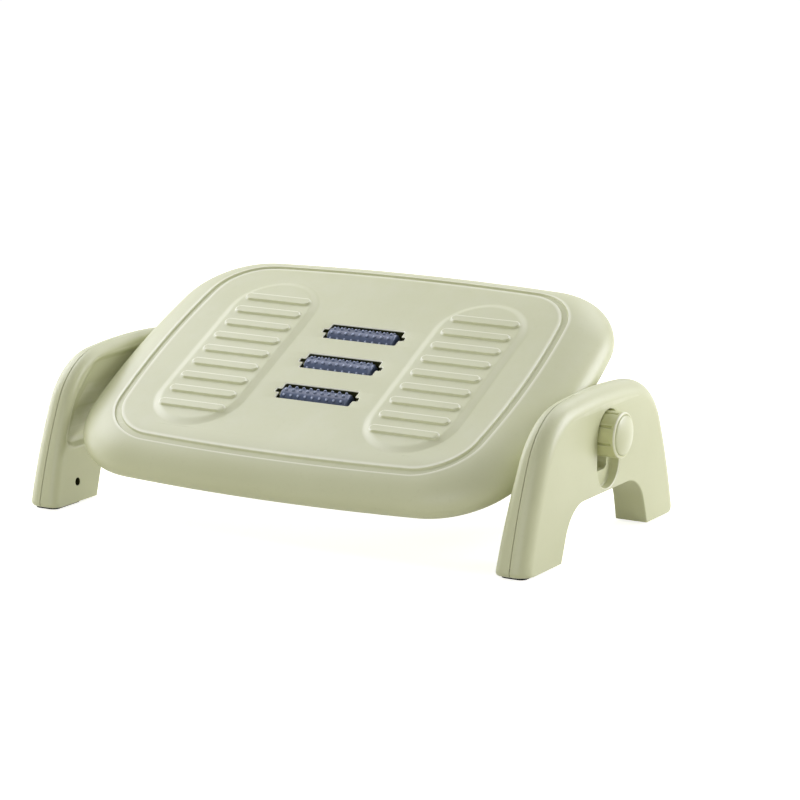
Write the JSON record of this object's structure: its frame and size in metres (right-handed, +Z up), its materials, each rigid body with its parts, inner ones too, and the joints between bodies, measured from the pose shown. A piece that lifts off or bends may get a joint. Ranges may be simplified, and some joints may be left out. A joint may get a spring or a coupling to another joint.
{
  "type": "massage roller footrest",
  "caption": "Tilting foot pedal with nubbed massage rollers and ribbed treads, carried between arched legs and clamped by side knobs that set height and angle.",
  "frame": {"origin": "on the floor under the middle of the footrest's bounding box", "axes": "+X to the right of the person who uses it, +Y away from them, +Z up"},
  "size_m": [0.5352, 0.305, 0.197],
  "materials": {
    "sage_plastic": "pale sage green, fine satin grain",
    "slate_plastic": "slate blue, satin",
    "black_rubber": "matt black",
    "zinc_steel": "bright zinc plated",
    "brass_insert": "plain turned",
    "nylon": "natural nylon"
  },
  "bodies": {
    "stand": {"left_front_foot_pad": "black_rubber", "left_leg_inner_shell": "sage_plastic", "left_leg_outer_shell": "sage_plastic", "left_leg_screws": "zinc_steel", "left_rear_foot_pad": "black_rubber", "right_front_foot_pad": "black_rubber", "right_leg_inner_shell": "sage_plastic", "right_leg_outer_shell": "sage_plastic", "right_leg_screws": "zinc_steel", "right_rear_foot_pad": "black_rubber"},
    "carriage": {"left_slot_bush": "nylon", "right_slot_bush": "nylon", "left_knob_washer": "nylon", "right_knob_washer": "nylon"},
    "pedal": {"pedal_plate": "sage_plastic", "left_pivot_bolt": "zinc_steel", "right_pivot_bolt": "zinc_steel", "near_roller_axle": "zinc_steel", "middle_roller_axle": "zinc_steel", "far_roller_axle": "zinc_steel"},
    "left_knob": {"left_knob_body": "sage_plastic", "left_knob_cap": "sage_plastic", "left_knob_nut": "brass_insert"},
    "right_knob": {"right_knob_body": "sage_plastic", "right_knob_cap": "sage_plastic", "right_knob_nut": "brass_insert"},
    "near_roller": {"near_roller": "slate_plastic"},
    "middle_roller": {"middle_roller": "slate_plastic"},
    "far_roller": {"far_roller": "slate_plastic"}
  },
  "joints": [
    {"name": "height_slide", "type": "slide", "parent": "stand", "child": "carriage", "axis": [0, 0, 1], "range_m": [-0.026, 0]},
    {"name": "pedal_tilt", "type": "hinge", "parent": "carriage", "child": "pedal", "pos_m": [0, 0.00818, 0.0972], "axis": [1, 0, 0], "range_deg": [-26.5, 3.5]},
    {"name": "left_knob_turn", "type": "hinge", "parent": "pedal", "child": "left_knob", "pos_m": [-0.25, 0.00818, 0.0972], "axis": [-1, 0, 0], "range_deg": [0, 720]},
    {"name": "right_knob_turn", "type": "hinge", "parent": "pedal", "child": "right_knob", "pos_m": [0.25, 0.00818, 0.0972], "axis": [1, 0, 0], "range_deg": [0, 720]},
    {"name": "near_roller_spin", "type": "hinge", "parent": "pedal", "child": "near_roller", "pos_m": [0, -0.05853, 0.10931], "axis": [1, 0, 0], "continuous": true},
    {"name": "middle_roller_spin", "type": "hinge", "parent": "pedal", "child": "middle_roller", "pos_m": [0, -0.01817, 0.12943], "axis": [1, 0, 0], "continuous": true},
    {"name": "far_roller_spin", "type": "hinge", "parent": "pedal", "child": "far_roller", "pos_m": [0, 0.02219, 0.14955], "axis": [1, 0, 0], "continuous": true}
  ]
}
